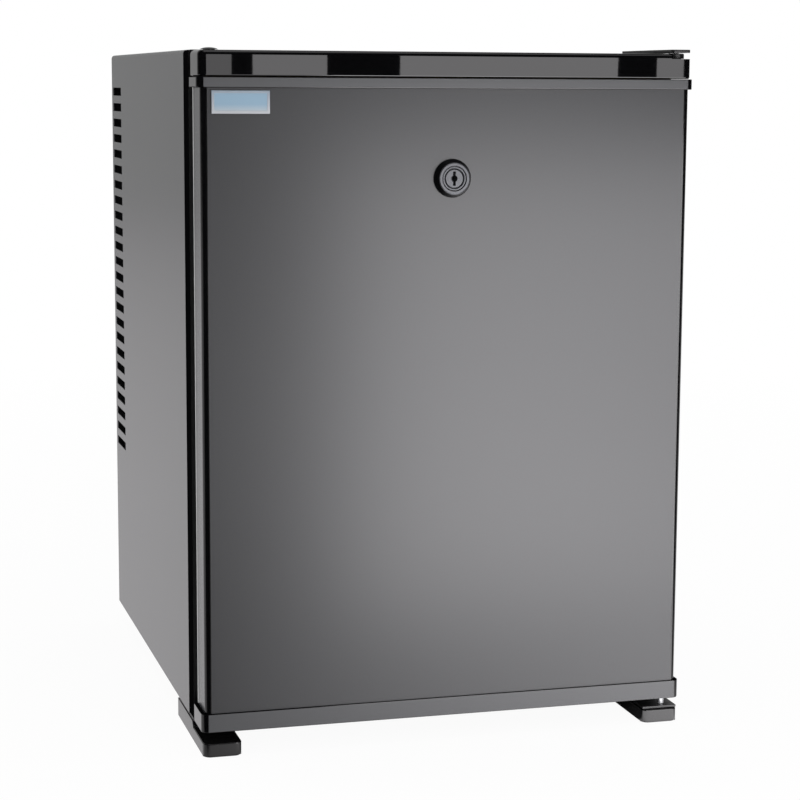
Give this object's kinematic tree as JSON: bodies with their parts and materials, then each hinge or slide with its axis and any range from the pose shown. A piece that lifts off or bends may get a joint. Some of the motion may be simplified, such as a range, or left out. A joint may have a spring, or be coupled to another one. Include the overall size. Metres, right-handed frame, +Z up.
{
  "type": "minibar fridge",
  "caption": "Free-standing absorption minibar fridge: steel cabinet with side vents, hinged door with a cam lock, wire shelves, and a cooling unit in its open back.",
  "frame": {"origin": "centre of the floor area that the whole fridge covers, at floor level", "axes": "+Z up; -Y out of the door's front; +X to the hinge side, on the right when facing the door"},
  "size_m": [0.402, 0.467, 0.5528],
  "materials": {
    "painted_steel": "satin",
    "zinc_steel": "satin",
    "black_pipe": "satin",
    "gloss_black_plastic": "gloss",
    "satin_black_plastic": "satin",
    "white_plastic": "satin",
    "lamp_plastic": "gloss",
    "foam": "matte",
    "aluminium": "satin",
    "gasket_rubber": "matte",
    "white_wire": "satin",
    "dark_metal": "satin",
    "badge_metal": "satin"
  },
  "bodies": {
    "cabinet": {"absorber_coil": "black_pipe", "absorber_vessel": "black_pipe", "back_panel": "zinc_steel", "base_pan": "zinc_steel", "boiler_casing": "zinc_steel", "boiler_strap": "zinc_steel", "bolt_keeper": "zinc_steel", "cabinet_wrap": "painted_steel", "condensate_cup": "satin_black_plastic", "condenser": "black_pipe", "control_housing": "white_plastic", "cord_gland": "satin_black_plastic", "drain_tube": "gasket_rubber", "drip_tray": "white_plastic", "evaporator_fins": "aluminium", "foam_insulation": "foam", "front_foot_left": "satin_black_plastic", "front_foot_right": "satin_black_plastic", "front_frame": "satin_black_plastic", "gas_pipe": "black_pipe", "hatch_plug": "satin_black_plastic", "hinge_pin_bottom": "zinc_steel", "hinge_pin_top": "zinc_steel", "hinge_plate_bottom": "black_pipe", "hinge_plate_top": "black_pipe", "hinge_screw_1": "zinc_steel", "hinge_screw_2": "zinc_steel", "inner_liner": "white_plastic", "lamp_lens": "lamp_plastic", "liquid_pipe": "black_pipe", "rear_foot_left": "satin_black_plastic", "rear_foot_right": "satin_black_plastic", "rear_rail_lower": "zinc_steel", "rear_rail_upper": "zinc_steel", "rectifier_tube": "black_pipe", "return_pipe": "black_pipe", "shelf_lower": "white_wire", "shelf_upper": "white_wire", "terminal_box": "satin_black_plastic", "vessel_cradle": "zinc_steel"},
    "door": {"door_panel": "painted_steel", "door_foam": "foam", "door_liner": "white_plastic", "door_gasket": "gasket_rubber", "door_top_cap": "gloss_black_plastic", "door_top_skirt": "satin_black_plastic", "door_bottom_cap": "satin_black_plastic", "hinge_bush": "satin_black_plastic", "hinge_hole_plug": "gloss_black_plastic", "badge_plate": "badge_metal", "door_rack_lower": "white_plastic", "door_rack_upper": "white_plastic", "lock_bezel": "dark_metal", "lock_barrel": "dark_metal", "lock_nut": "zinc_steel", "bolt_guide": "white_plastic"},
    "lock": {"lock_cylinder": "dark_metal", "lock_crank": "zinc_steel"},
    "bolt": {"lock_bolt": "zinc_steel"},
    "thermostat": {"thermostat_knob": "white_plastic"}
  },
  "joints": [
    {"name": "door_hinge", "type": "hinge", "parent": "cabinet", "child": "door", "pos_m": [0.1895, -0.2165, 0.285], "axis": [0, 0, 1], "range_deg": [0, 120]},
    {"name": "lock_turn", "type": "hinge", "parent": "door", "child": "lock", "pos_m": [0, -0.2265, 0.452], "axis": [0, 1, 0], "range_deg": [0, 90]},
    {"name": "bolt_slide", "type": "slide", "parent": "door", "child": "bolt", "axis": [0, 0, 1], "range_m": [0, 0.01275]},
    {"name": "thermostat_turn", "type": "hinge", "parent": "cabinet", "child": "thermostat", "pos_m": [0.122, -0.0365, 0.4927], "axis": [0, 0, 1], "range_deg": [0, 270]}
  ],
  "couplings": [
    {"joint": "bolt_slide", "follows": "lock_turn", "m_per_rad": 0.0081}
  ]
}
